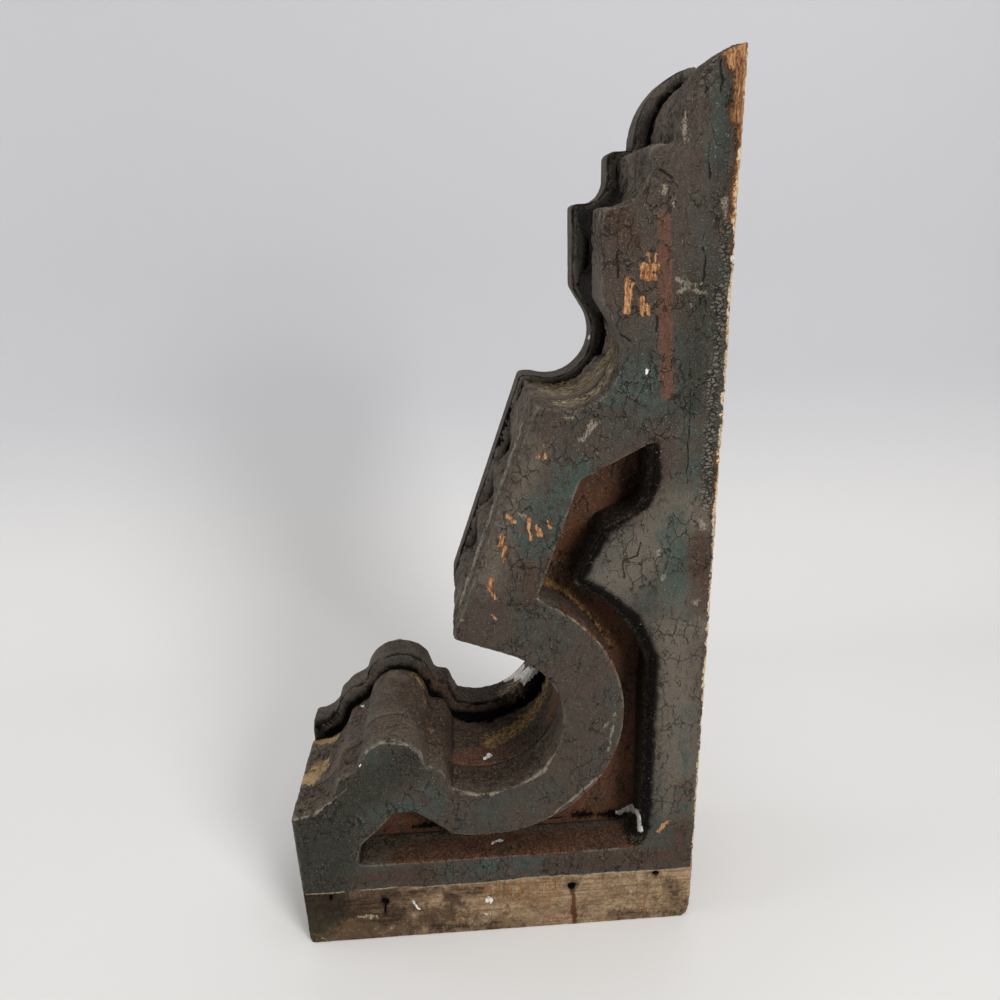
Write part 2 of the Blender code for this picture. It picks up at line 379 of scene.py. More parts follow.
def thinHidden(board, planes, shown):
    # the glued faces are never seen, so they need few faces
    work = bmesh.new()
    work.from_mesh(board.data)
    for plane in planes:
        flat = {v for v in work.verts if abs(v.co.y * perMetre - plane) < 0.3}
        inner = {v for v in flat if shown[v.index] < 0
                 and all(e.other_vert(v) in flat for e in v.link_edges)}
        faces = {f for f in work.faces if all(v in inner for v in f.verts)}
        pinched = inner
        while pinched:
            # where two corners of the patch meet in one point, the faces there are kept
            edges = sorted({e for f in faces for e in f.edges}, key=lambda e: e.index)
            rim = [e for e in edges if sum(f in faces for f in e.link_faces) == 1]
            meeting = Counter(v for e in rim for v in e.verts)
            pinched = {v for v, count in meeting.items() if count > 2}
            faces -= {f for v in pinched for f in v.link_faces}
        bmesh.ops.delete(work, geom=list(faces), context="FACES")
        rim = [e for e in rim if e.is_valid]
        bmesh.ops.triangle_fill(work, edges=rim, use_beauty=True, use_dissolve=False)
    work.to_mesh(board.data)
    work.free()
    for face in board.data.polygons:
        face.use_smooth = True


# the paint, shared by the three boards with its own colours on each

def oldPaint(name, look):
    f = Finish(name)
    x, y, z = f.axes(f.place)
    nx, ny, _ = f.axes(f.put("ShaderNodeNewGeometry", output="Normal"))
    worn, deep, groove = f.field("worn"), f.field("deep"), f.field("groove")

    blot = f.cloud(70.0, 3.0, shift=(0.3, 0.1, 0.7))
    patch = f.cloud(17.0, 5.0, shift=(1.3, 0.4, 0.2), rough=0.64)
    fleck = f.cloud(3.2, 4.0, shift=(0.1, 2.4, 0.9), rough=0.75)
    speck = f.cloud(1.2, 2.0, shift=(1.1, 0.4, 0.3), rough=0.7)
    streak = f.cloud(3.4, 5.0, scale=(1.0, 1.0, 0.16), shift=(0.7, 0.2, 0.1), rough=0.7)
    grain = f.cloud(1.2, 3.0, scale=(1.0, 1.0, 0.04), shift=(0.2, 0.9, 0.5), rough=0.6)
    spikes = f.cloud(2.6, 4.0, scale=(1.0, 1.0, 0.30), shift=(0.5, 0.6, 0.1), rough=0.75)
    ragged = (fleck - 0.5) * 5.0 + (patch - 0.5) * 7.0 + (spikes - 0.5) * 7.0

    def shows(fieldName, softness=0.5, rag=1.0):
        return f.step(f.field(fieldName) + ragged * rag, -softness, softness)

    def larger(first, second):
        return f.put("ShaderNodeMath", {"operation": "MAXIMUM"}, {0: first, 1: second})

    def withoutSign(value):
        return f.put("ShaderNodeMath", {"operation": "ABSOLUTE"}, {0: value})

    # near and far faces wear the top coat, the shaped edges an older brown
    facing = f.step(ny * ny + (patch - 0.5) * 0.2, 0.40, 0.72)
    top = f.mix(f.step(blot * 0.55 + patch * 0.45, 0.43, 0.58), look["topWarm"], look["topCool"])
    top = f.mix(f.step(patch * 0.6 + streak * 0.4, 0.49, 0.62) * 0.7, top, look["topPurple"])
    # paler and darker patches of the top coat, partly paint tone and partly painted light and painted
    # shade: lighter on the stile, darker at the lower left, lit on the far board beside the joint
    top = f.mix(shows("light", 14.0, 3.0) * 0.8, top, look["topLight"])
    top = f.mix(shows("umber", 6.0, 2.0) * f.step(ny, 0.8, 0.3) * 0.6, top, look["umber"])
    top = f.mix(shows("teal", 9.0, 4.0) * f.step(fleck * 0.5 + patch * 0.5, 0.40, 0.56) * 0.8,
                top, look["teal"])
    top = f.mix(shows("gloom", 12.0, 3.0) * 0.85, top, look["topDarkAndShade"])
    edge = f.mix(f.step(blot * 0.4 + patch * 0.6, 0.42, 0.58), look["edgeWarm"], look["edgeDark"])
    edge = f.mix(f.step(fleck * 0.4 + patch * 0.6, 0.52, 0.62) * look["dust"], edge, look["dustColour"])
    edge = f.mix(shows("umber", 9.0, 3.0) * 0.9, edge, look["umberEdge"])
    edge = f.mix(f.step(y, -0.050, -0.064) * look["frontBand"] * f.step(patch, 0.36, 0.56),
                 edge, look["bandColour"])
    paint = f.mix(facing, edge, top)
    near = f.step(ny * -1.0, 0.90, 0.998)
    panel = f.step(f.field("panel"), -2.0, 2.0) * (1 - near * look["panelSidesOnly"])
    sunk = f.mix(f.step(patch * 0.6 + blot * 0.4, 0.42, 0.60), look["panelRed"], look["panelDark"])
    sunk = f.mix(f.step(fleck * 0.6 + patch * 0.4, 0.53, 0.66) * 0.45, sunk, look["panelWorn"])
    # painted shade: the walls of the opening that face -x are painted near black
    sunk = f.mix(f.step(nx * -1.0, 0.02, 0.40) * look["panelSidesOnly"] * 0.95, sunk, look["panelShade"])
    paint = f.mix(panel, paint, sunk)
    # painted shade: the near face darkens to near black along the rounded arris of the opening
    soiled = f.step(f.field("soiled") + (patch - 0.5) * 3.0, -3.2, 1.5) * f.step(ny * -1.0, 0.1, 0.5)
    outsideArrisShade = 1 - soiled
    paint = f.mix(soiled * 0.97, paint, look["panelShade"])
    band = f.step(f.field("band") + (fleck - 0.5) * 6.0 + (patch - 0.5) * 8.0, -2.4, 0.8)
    paint = f.mix(band * f.step(fleck * 0.5 + spikes * 0.5, 0.40, 0.54) * 0.7, paint, look["bandLight"])
    red = f.step(f.field("red") + (fleck - 0.5) * 3.0 + (patch - 0.5) * 3.0, -0.5, 0.5)
    red = red * f.step(streak * 0.4 + patch * 0.6, 0.36, 0.50)
    paint = f.mix(red * 0.85, paint, look["redCoat"])

    # grain of the paint: light and dark flecks, dots and faint streaks down the board
    coarseSide = (1 - facing) * 0.5 + 0.5
    paint = f.mix(f.step(streak, 0.54, 0.70) * 0.3, paint, look["fleckDark"])
    paint = f.mix(f.step(speck * 0.65 + fleck * 0.35, 0.51, 0.62) * coarseSide * outsideArrisShade * look["flecks"],
                  paint, look["fleckLight"])
    paint = f.mix(f.step(speck * 0.6 + fleck * 0.4, 0.48, 0.38) * coarseSide, paint, look["fleckDark"])
    paint = f.mix(f.step(spikes * 0.5 + fleck * 0.5, 0.53, 0.60) * (1 - facing) * 0.4,
                  paint, look["dustColour"])
    dots = f.cloud(1.5, 1.0, shift=(0.8, 0.3, 0.2))
    paint = f.mix(f.step(dots, 0.67, 0.74) * f.step(patch, 0.42, 0.58) * 0.6, paint, look["dotColour"])

    # rubbed arrises, and pale lines along some arrises that are partly worn paint, partly a painted
    # highlight
    rub = f.step(worn * 1.5 + (patch - 0.5) * 2.4 + (fleck - 0.5) * 1.8, 0.60, 1.30)
    paint = f.mix(rub * outsideArrisShade * look["rub"], paint, look["rubbed"])
    pale = f.step(f.field("paleLine") + (fleck - 0.5) * 4.0 + (patch - 0.5) * 4.0, -0.7, 0.5)
    paint = f.mix(pale * 0.6, paint, look["scuffAndHighlightColour"])

    # net of fine cracks in the old paint, and hair cracks along the grain
    wander = f.put("ShaderNodeTexNoise", None,
                   {"Vector": f.place, "Scale": 260.0, "Detail": 4.0}, output="Color")
    wander = f.put("ShaderNodeVectorMath", {"operation": "SCALE"}, {0: wander, "Scale": 0.0055})
    net = f.cracks(9.5, (1.0, 1.0, 0.62), wander)
    finer = f.cracks(3.4, (0.7, 1.0, 1.2), wander, shift=(0.5, 0.2, 0.4))
    hairs = withoutSign(f.cloud(12.0, 2.5, scale=(1.0, 1.0, 0.5), shift=(0.9, 0.6, 0.3), rough=0.55) - 0.5)
    island = f.cloud(11.0, 3.0, shift=(0.2, 0.7, 0.9), rough=0.6)
    hairMask = f.step(island, 0.49, 0.55)
    netMask = f.step(f.cloud(24.0, 1.5, shift=(0.6, 0.3, 0.5)) * 0.8 + fleck * 0.2, 0.48, 0.54)
    alligator = shows("crackle", 4.0, 1.6)
    hairLine = (1 - f.step(hairs, 0.001, 0.007)) * hairMask
    netLine = (1 - f.step(net, 0.008, 0.036)) * netMask
    finerLine = (1 - f.step(finer, 0.03, 0.13)) * alligator
    lifted = larger(f.step(hairs, 0.026, 0.009) * hairMask, f.step(net, 0.11, 0.035) * netMask)
    paint = f.mix(lifted * f.step(fleck, 0.44, 0.60) * outsideArrisShade * 0.35, paint, look["fleckLight"])
    paint = f.mix(alligator * f.step(finer, 0.06, 0.26) * 0.6, paint, look["crackleColour"])
    slit = f.step(f.field("slit") + (fleck - 0.5) * 2.5, 0.0, 0.5)
    crackLine = larger(larger(larger(netLine, hairLine) * look["net"], finerLine * 0.85), slit)
    paint = f.mix(crackLine * 0.8, paint, look["crackColour"])
    # scuffs, and on the core a painted highlight on the pale fibres of the cove
    scuff = shows("scuff", 0.7, 1.3) * f.step(speck, 0.34, 0.54)
    paint = f.mix(scuff * 0.75, paint, look["scuffAndHighlightColour"])

    # bare wood: dark where the paint ends, orange inside, pale along the outermost arris
    bareField = f.field("bare") + ragged * 1.9
    behind = f.step(nx + (patch - 0.5) * 0.4, 0.55, 0.75) * f.step(x, 0.160, 0.166)
    bare = larger(f.step(bareField, -0.4, 0.4), behind)
    wood = f.mix(f.step(grain * 0.5 + streak * 0.5, 0.42, 0.58), look["woodDark"], look["woodLight"])
    wood = f.mix(f.step(patch * 0.4 + spikes * 0.6, 0.50, 0.60) * 0.8, wood, look["woodStain"])
    wood = f.mix(f.step(nx, 0.6, 0.9) * f.step(streak * 0.5 + blot * 0.5, 0.44, 0.56) * 0.5,
                 wood, look["woodGrey"])
    wood = f.mix((1 - f.step(bareField, 0.6, 3.6)) * 0.85, wood, look["woodEdge"])
    wood = f.mix(f.step(grain * 0.5 + spikes * 0.5, 0.57, 0.63) * 0.7, wood, look["crackColour"])
    blond = f.mix(f.step(grain * 0.3 + patch * 0.7, 0.40, 0.60), look["blondDark"], look["blondLight"])
    chipField = f.field("chip") + (fleck - 0.5) * 6.0 + (patch - 0.5) * 6.0 + (spikes - 0.5) * 5.0
    chip = f.step(chipField, -0.2, 0.2)
    orange = f.mix(f.step(grain * 0.4 + spikes * 0.6, 0.42, 0.58), look["chipDark"], look["chipLight"])
    orange = f.mix(f.step(chipField, 0.9, 0.2) * 0.5, orange, look["chipDark"])
    cream = f.step(f.field("cream") + (fleck - 0.5) * 9.0 + (patch - 0.5) * 8.0, -0.4, 0.5)
    paint = f.mix(bare, paint, wood)
    paint = f.mix(shows("blond", 0.8, 1.6), paint, blond)
    paint = f.mix(cream * 0.9, paint, f.mix(f.step(fleck, 0.42, 0.58), look["woodLight"], look["cream"]))
    paint = f.mix(chip, paint, orange)

    # the unpainted strip along the foot
    line = 0.0585 + (f.cloud(45.0, 2.0, shift=(0.4, 0.0, 0.0)) - 0.5) * 0.008 + (fleck - 0.5) * 0.0028
    flat = f.step(line - z, -0.0004, 0.0005) * look["strip"]
    ridge = f.step(withoutSign(line - z - 0.0004), 0.0012, 0.0002)
    ridge = ridge * f.step(patch, 0.38, 0.56) * look["strip"]
    across = f.cloud(2.4, 5.0, scale=(0.07, 1.0, 1.0), shift=(0.1, 0.3, 0.8), rough=0.65)
    dirty = f.step(x * -8.0 + (patch - 0.5) * 4.0 + (blot - 0.5) * 1.5 + (across - 0.5) * 1.5, -0.05, 0.75)
    foot = f.mix(f.step(across * 0.6 + fleck * 0.4, 0.42, 0.58), look["footDark"], look["footLight"])
    foot = f.mix(f.step(patch * 0.7 + across * 0.3, 0.49, 0.60) * 0.5, foot, look["footStain"])
    foot = f.mix(dirty * 0.9, foot, look["footDirt"])
    foot = f.mix(f.step(speck * 0.4 + fleck * 0.6, 0.55, 0.64) * 0.4, foot, look["footPale"])
    foot = f.mix(f.step(grain * 0.6 + streak * 0.4, 0.50, 0.57) * shows("ticks", 6.0, 2.0) * 0.75,
                 foot, look["tickColour"])
    # darker paint with painted shade: the foot darker and greener at the lower left
    foot = f.mix(shows("gloom", 8.0, 4.0) * 0.8, foot, look["footGreenAndShade"])
    foot = f.mix(shows("smudge", 5.0, 3.0) * f.step(across * 0.5 + fleck * 0.5, 0.40, 0.56) * 0.85,
                 foot, look["footSmudge"])
    foot = f.mix(shows("rust", 0.7, 0.8) * 0.85, foot, look["rustColour"])
    foot = f.mix(scuff * 0.8, foot, look["footPale"])
    foot = f.mix(chip * 0.9, foot, orange)
    paint = f.mix(flat, paint, foot)
    paint = f.mix(ridge * 0.7, paint, look["footPale"])

    # dirt and painted shade in the hollows, soot and painted shade in the eaten joint, fibres, gilding left
    # over, white crumbs
    dirtAndShade = f.step(deep + (patch - 0.5) * 1.1 + (fleck - 0.5) * 0.7, 0.25, 1.0)
    paint = f.mix(dirtAndShade * 0.75, paint, look["dirtAndShade"])
    # soot and painted shade: black in the eaten joint and along the dark cracks
    sooty = f.step(f.field("sooty") + ragged * 1.8, -2.5, 2.5)
    seam = f.field("seam") + (fleck - 0.5) * 9.0 + (patch - 0.5) * 10.0
    eaten = f.step(groove + (fleck - 0.5) * 0.8 + (patch - 0.5) * 0.8, 0.05, 0.55)
    soot = larger(larger(eaten, sooty), f.step(seam, -4.5, 0.5))
    black = f.step(sooty * 0.9 + (fleck - 0.5) * 1.3 + (patch - 0.5) * 0.7, 0.45, 0.80)
    black = larger(black, f.step(seam, -0.5, 0.5))
    hole = f.step(f.field("hole") + (fleck - 0.5) * 2.5, -0.4, 0.4)
    halo = f.step(f.field("hole") + ragged * 1.2, -3.6, 0.4)
    rotten = f.mix(f.step(fleck * 0.6 + speck * 0.4, 0.56, 0.66), look["black"], look["rotten"])
    paint = f.mix(halo * 0.7, paint, look["footSmudge"])
    paint = f.mix(soot * 0.8, paint, look["soot"])
    # painted shade: the core's recessed face at the fillet is painted black
    smoke = f.step(f.field("smoke") + ragged * 3.0, -9.0, 7.0)
    paint = f.mix(smoke * 0.96, paint, look["black"])
    paint = f.mix(black, paint, rotten)
    threads = f.cloud(1.5, 4.0, scale=(0.25, 1.0, 0.25), shift=(0.2, 0.2, 0.3), rough=0.75)
    tan = shows("fibre", 6.0, 2.5) * f.step(threads * 0.6 + patch * 0.4, 0.34, 0.50)
    paint = f.mix(tan, paint, f.mix(f.step(threads, 0.44, 0.58), look["fibreDark"], look["fibreLight"]))
    gold = shows("gold", 3.0, 2.4) * f.step(fleck * 0.7 + threads * 0.3, 0.42, 0.58)
    paint = f.mix(gold * 0.7, paint, look["goldColour"])
    paint = f.mix(hole, paint, look["black"])
    whiteField = f.field("white") + ragged * 0.9
    paint = f.mix(f.step(whiteField, -0.9, 0.0) * 0.6, paint, look["dirtAndShade"])
    white = f.step(whiteField, -0.1, 0.2)
    paint = f.mix(white, paint, f.mix(f.step(fleck, 0.42, 0.58), look["whiteShade"], look["whiteColour"]))

    # relief: grain, streaks, cracks and the thickness of the paint
    coat = 1 - larger(chip, bare)
    relief = (coat * 0.5 - crackLine * 1.0 + lifted * 0.25 + (streak - 0.5) * 0.5
              + (fleck - 0.5) * 0.9 + (speck - 0.5) * 0.5 + (spikes - 0.5) * 0.5 + (patch - 0.5) * 0.6
              + (across - 0.5) * 0.9 * flat + white * 0.8 - soot * (fleck - 0.3) * 2.6
              - flat * 0.5 + ridge * 0.4 + tan * (threads - 0.5) * 2.0)
    bump = f.put("ShaderNodeBump", None, {"Strength": 1.0, "Distance": look["relief"], "Height": relief})
    dull = larger(chip + bare + white + flat + tan + soiled + smoke, soot)
    rough = f.step(dull + (fleck - 0.5) * 0.3, 0.0, 1.0, look["gloss"], 0.92) + (patch - 0.5) * 0.25
    shader = f.put("ShaderNodeBsdfPrincipled", None, {"Base Color": paint, "Roughness": rough,
                   "Normal": bump, "Specular IOR Level": look["specular"]})
    f.put("ShaderNodeOutputMaterial", None, {"Surface": shader})
    return f.material


paintColours = {
    # some colours here also carry painted light and shade: the paler and darker top coat, the dark green of
    # the foot, the near black of the opening's walls and arris, the dark of the hollows and the eaten
    # joint, the pale of the arris lines and of some scuffs
    "topWarm": shade(71, 61, 54), "topCool": shade(61, 66, 61), "topPurple": shade(68, 53, 47),
    "topLight": shade(107, 98, 87), "topDarkAndShade": shade(43, 44, 37), "teal": shade(57, 76, 71),
    "umber": shade(70, 46, 34), "umberEdge": shade(54, 38, 28), "edgeWarm": shade(84, 70, 59),
    "edgeDark": shade(62, 53, 45), "dust": 0.5, "dustColour": shade(106, 93, 78),
    "frontBand": 0.7, "bandColour": shade(90, 86, 75), "bandLight": shade(176, 168, 152),
    "panelRed": shade(92, 57, 39), "panelDark": shade(70, 47, 34), "panelWorn": shade(98, 70, 52),
    "panelShade": shade(11, 8, 7), "panelSidesOnly": 1.0,
    "blondDark": shade(136, 110, 76), "blondLight": shade(178, 152, 112), "redCoat": shade(100, 66, 53),
    "flecks": 0.75, "fleckLight": shade(112, 102, 88), "fleckDark": shade(40, 36, 31),
    "dotColour": shade(150, 138, 120),
    "rub": 0.5, "rubbed": shade(118, 108, 96), "net": 0.85, "crackColour": shade(15, 13, 11),
    "crackleColour": shade(128, 120, 106), "scuffAndHighlightColour": shade(152, 140, 124),
    "woodDark": shade(124, 84, 56), "woodLight": shade(182, 140, 96), "woodStain": shade(106, 68, 44),
    "woodEdge": shade(74, 48, 32), "woodGrey": shade(104, 90, 76),
    "chipDark": shade(128, 82, 52), "chipLight": shade(196, 150, 106), "cream": shade(214, 196, 164),
    "footDark": shade(126, 101, 76), "footLight": shade(166, 141, 111), "footDirt": shade(84, 66, 50),
    "footStain": shade(98, 78, 59), "footSmudge": shade(46, 36, 28), "footPale": shade(190, 172, 142),
    "footGreenAndShade": shade(44, 44, 34), "tickColour": shade(142, 96, 54),
    "rustColour": shade(80, 40, 26), "strip": 1.0,
    "dirtAndShade": shade(26, 20, 16), "black": shade(6, 5, 4), "soot": shade(24, 20, 17),
    "rotten": shade(58, 46, 33),
    "fibreDark": shade(84, 71, 56), "fibreLight": shade(188, 170, 138), "goldColour": shade(168, 134, 78),
    "whiteShade": shade(212, 205, 194), "whiteColour": shade(245, 242, 236),
    # gloss is the roughness of sound paint, relief the height of the bumps in metres
    "gloss": 0.55, "specular": 0.09, "relief": 0.0011,
}


# marks with a crisp outline, all the marks that the paint reads, and the share of the sway that some keep
smallMarks = ("chip", "white", "hole", "slit", "scuff", "rust")
paintMarks = ("chip", "bare", "cream", "white", "red", "teal", "umber", "light", "gloom", "scuff",
              "crackle", "slit", "smudge", "rust", "hole", "fibre", "gold", "panel", "blond", "sooty",
              "paleLine", "ticks", "soiled", "band", "smoke")
straighter = {"rust": 0.2, "red": 0.5, "hole": 0.3}


def build(look):
    board = denseBoard(look["node"], look["piece"], look["voxel"])
    refine(board.data, [mark for name in smallMarks for mark in look.get(name, ())])
    surface = Surface(board)
    surface.shown = np.full(surface.count, -1.0)
    look["low"], look["high"] = (np.array(corner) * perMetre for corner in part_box(look["node"]))
    across, upward = (surface.noise("sway", look["seed"] + k, 2) * handSway for k in (8, 9))
    surface.sway = np.stack([across, 0 * across, upward], axis=1)
    marks = {name: surface.strokes(look.get(name, ()), straighter.get(name, 1.0)) for name in paintMarks}
    look["marks"] = marks
    wearBoard(surface, look)
    for name, values in marks.items():
        surface.keep(name, values)
    thinHidden(board, look["hidden"], marks["panel"] if look["panelShown"] else surface.shown)
    colours = {**paintColours, **look.get("colours", {})}
    board.data.materials.clear()
    board.data.materials.append(oldPaint(look["piece"] + "Paint", colours))
    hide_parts(look["node"])
    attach(board, "root")
    triangles = sum(len(face.vertices) - 2 for face in board.data.polygons)
    print(look["piece"], "has", triangles, "triangles")


# the near board; a place is x from the middle and z from the underside, in millimetres,
# or x, y, z where it is not on the near face
scrollLook = {
    "node": "scroll_board", "piece": "scrollBoard", "slot": "green_paint", "voxel": 0.0018, "seed": 11,
    "hidden": (-32.8,), "panelShown": False, "fairing": 3, "softening": 2,
    "arrisWear": 0.7, "waves": 0.5, "grit": 0.06,
    "sunk": (("chip", 0.35), ("bare", 0.5), ("hole", 3.0), ("white", -0.5)), "crack": (), "rim": (),
    "chip": (((101, 565), (102, 545), 2.4), ((104, 563), (104, 553), 1.6), ((111, 552), (112, 544), 2.2),
             ((114, 548), (116, 543), 1.8), ((112, 572), (120, 571), 3.4), ((112, 566), (119, 565), 2.8),
             ((115, 580), (116, 575), 1.4), ((120, 579), (120, 575), 1.2), ((38, 446), (45, 446), 1.1),
             ((45, 446), (45, 454), 1.3), ((13, 387), (13, 380), 1.8), ((15, 378), (14, 366), 1.4),
             ((38, 392), (41, 387), 2.0), ((33, 393), (35, 384), 1.4), ((32, 402), (34, 394), 1.1),
             ((4, 352), (3, 344), 2.1), ((3, 343), (6, 336), 1.7), ((4, 322), (6, 318), 1.0),
             ((18, 404), (22, 398), 1.0), ((46, 398), (48, 392), 0.9), ((140, 101), (144, 108), 1.7),
             ((144, 109), (150, 112), 1.8), ((126, 14), (134, 11), 1.8), ((128, 18), (129, 12), 1.2)),
    "bare": (((174, 706), (173, 660), 9.0), ((157, 697), (172, 694), 6.5), ((168, 701), (172, 688), 8.0),
             ((166, 690), (170, 676), 6.5), ((160, 696), (163, 687), 5.5), ((174, 660), (174, 600), 7.0),
             ((174, 600), (174, 572), 5.0), ((174, 572), (174, 535), 4.0), ((174, 535), (174, 444), 2.6),
             ((174, 444), (174, 400), 5.4), ((174.5, 60), (174.5, 400), 3.0)),
    "cream": (((173.5, 700), (174, 640), 1.6), ((174.5, 380), (174.5, 640), 4.6),
              ((175, 60), (175, 380), 4.6)),
    "white": (((32, 424), (32, 424), 0.7), ((14, 415), (14, 415), 0.7), ((54, 452), (54, 452), 0.6),
              ((116, 504), (116, 503), 0.9), ((-4, -52, 86), (2, -50, 86), 2.4),
              ((-5, -54, 86), (-1, -51, 86), 2.0), ((-110, 191), (-108, 193), 1.0),
              ((-77, 42), (-75, 37), 1.2), ((-75, 36), (-73, 32), 1.1), ((-12, 37), (-8, 36), 2.4),
              ((-10, 40), (-9, 34), 1.5), ((-14, 20), (-10, 19), 1.4),
              ((125, -34, 97), (124, -46, 105), 3.8), ((124, -46, 105), (124, -60, 113), 3.4),
              ((124, -60, 112), (125, -62, 100), 3.8), ((171, 575), (173, 570), 1.4),
              ((173, 470), (173, 462), 1.0), ((173, 300), (173, 294), 1.0), ((173, 196), (173, 190), 1.2)),
    "red": (((124, 602), (127, 546), 4.6), ((127, 546), (131, 487), 4.8)),
    "teal": (((94, 500), (114, 492), 14.0), ((40, 392), (64, 424), 20.0), ((150, 320), (138, 390), 9.0),
             ((160, 220), (162, 120), 5.0), ((-60, 150), (-80, 120), 16.0), ((-14, 78), (32, 80), 8.0),
             ((150, 420), (156, 470), 9.0), ((152, 690), (158, 640), 5.0)),
    "umber": (((-150, 70), (-60, 70), 7.0), ((40, 72), (160, 72), 9.0), ((160, 75), (160, 150), 8.0),
              ((159, 374), (163, 318), 9.0), ((92, 604), (104, 590), 8.0), ((30, 360), (34, 330), 4.0),
              ((-34, -48, 156), (34, -48, 156), 18.0)),
    # painted shade along the rounded arris at the right of the opening
    "soiled": (((123, 447), (125, 427), 3.8), ((125, 427), (118, 408), 4.2), ((118, 408), (100, 395), 4.2),
               ((100, 395), (89, 389), 4.2), ((89, 389), (69, 347), 4.6), ((69, 347), (84, 338), 4.2),
               ((84, 338), (113, 312), 4.6), ((113, 312), (128, 276), 4.6), ((128, 276), (127, 108), 5.0),
               ((127, 108), (119, 93), 3.6)),
    "band": (((30, -38, 458), (14, -41, 415), 6.0), ((14, -41, 415), (-20, -46, 327), 6.0)),
    # partly paler paint, partly painted light on the stile
    "light": (((146, 300), (160, 130), 18.0), ((100, 350), (150, 400), 20.0), ((0, 350), (40, 450), 8.0),
              ((150, 330), (165, 300), 14.0)),
    # partly darker paint, partly painted shade at the lower left
    "gloom": (((-160, 40), (-140, 140), 26.0), ((-120, 160), (-70, 190), 18.0),
              ((162, 680), (162, 560), 2.0), ((-165, 20), (-160, 60), 16.0), ((150, 560), (150, 480), 8.0)),
    "scuff": (((124, 620), (124, 616), 0.8), ((128, 612), (129, 609), 0.8), ((72, 458), (83, 469), 1.6),
              ((76, 466), (79, 470), 1.2), ((59, 474), (65, 474), 0.8), ((26, 404), (30, 402), 1.1),
              ((136, 668), (134, 656), 0.4), ((134, 656), (135, 644), 0.8), ((135, 563), (141, 560), 0.5),
              ((141, 560), (151, 561), 0.5), ((135, 555), (141, 558), 0.5), ((141, 558), (153, 554), 0.5),
              ((142, 549), (146, 545), 0.9), ((129, 368), (129, 366), 1.2), ((133, 348), (133, 345), 1.1),
              ((160, 324), (160, 322), 1.8), ((-172, 14), (-157, 3), 0.6), ((117, 35), (113, 23), 0.7),
              ((-128, 28), (-111, 27), 1.3), ((100, 226), (92, 215), 1.1), ((163, 610), (164, 600), 1.4),
              ((160, 392), (163, 384), 1.4)),
    "crackle": (((165, 596), (167, 556), 2.5), ((163, 556), (165, 500), 3.5), ((162, 500), (164, 404), 4.5),
                ((152, 694), (144, 680), 3.0)),
    "slit": (((121, 631), (128, 625), 0.9), ((151, 634), (152, 624), 0.7), ((150, 583), (153, 576), 0.7),
             ((153, 576), (151, 562), 0.8), ((151, 562), (150, 547), 0.7), ((116, 376), (113, 365), 0.9),
             ((113, 365), (103, 362), 0.9), ((103, 362), (104, 348), 0.9), ((147, 482), (148, 421), 0.6),
             ((155, 690), (156, 672), 1.0), ((165, 690), (167, 640), 0.9), ((28, -67, 85), (28, 62), 0.4),
             ((44, 84), (44, 66), 0.4), ((70, 83), (70, 62), 0.4), ((93, 81), (93, 64), 0.4),
             ((126, 81), (126, 66), 0.4), ((94, 582), (95, 566), 0.9), ((96, 530), (104, 524), 1.0),
             ((122, 540), (121, 530), 0.9)),
    "smudge": (((152, 42), (166, 6), 7.0), ((-170, 50), (-100, 30), 14.0), ((-100, 52), (-20, 50), 5.0),
               ((100, 8), (160, 4), 4.0), ((-60, 8), (20, 4), 4.0)),
    "rust": (((65, 44), (66, 0), 1.9),),
    "ticks": (((-5, 50), (45, 42), 14.0),),
    "hole": (((-149, 54), (-149, 50), 1.2), ((-102, 44), (-102, 42), 3.6), ((-102, 40), (-103, 30), 0.5),
             ((64, 46), (64, 46), 3.6), ((139, 54), (139, 54), 2.8)),
    # pale lines along the arrises: partly worn paint, partly a painted highlight
    "paleLine": (((36, 336), (60, 322), 0.6), ((60, 322), (89, 289), 0.4), ((41, 121), (89, 166), 0.6),
                 ((100, 224), (94, 190), 0.5), ((-37, -64, 160), (-28, -66, 156), 0.9),
                 ((-28, -66, 156), (-16, -68, 154), 1.3), ((-16, 154), (-1, 154), 1.4),
                 ((-1, 154), (11, 158), 0.7), ((24, 163), (34, 168), 0.9), ((34, 168), (42, 176), 1.4),
                 ((42, 176), (49, 190), 1.0), ((-109, 195), (-100, 207), 0.8),
                 ((-100, 207), (-91, 212), 0.9), ((-91, 212), (-80, 212), 0.9),
                 ((-80, 212), (-69, 207), 0.8), ((-69, 207), (-60, -66, 198), 0.7),
                 ((-60, -66, 198), (-51, -66, 180), 0.7), ((-171, 140), (-155, 143), 0.6),
                 ((-155, 143), (-137, 156), 0.7), ((-137, 156), (-123, 168), 0.3),
                 ((83, -64, 606), (83, -60, 576), 0.6), ((-20, 320), (-62, 292), 0.5)),
    "fibre": (((64, -44, 478), (84, -46, 486), 9.0), ((84, -46, 486), (102, -44, 504), 9.0)),
    "rough": (((150, -50, 697), (84, -50, 600), 22.0), ((66, -50, 479), (100, -50, 502), 16.0),
              ((-168, -50, 140), (-120, -50, 180), 12.0), ((50, -50, 470), (-40, -50, 300), 16.0)),
    # soot and painted shade in the joint at the fillet
    "sooty": (((84, -33, 606), (80, -33, 545), 5.0), ((80, -33, 545), (92, -33, 520), 4.0)),
    "panel": (((-70, 100), (118, 100), 30.0), ((108, 105), (108, 300), 34.0),
              ((82, 338), (118, 436), 32.0)),
    "gnawed": (((173, 700), (173, 60), 2.5), ((170, 40), (173, 0), 4.0)),
    "melt": (((156, 696), (140, 676), 9.0), ((140, 676), (132, 648), 9.0),
             ((-60, -50, 178), (-38, -50, 186), 16.0), ((-128, -50, 166), (-118, -50, 186), 14.0),
             ((130, 240), (124, 300), 12.0), ((172, 0), (172, 6), 4.0)),
    "meltRounds": 24,
}

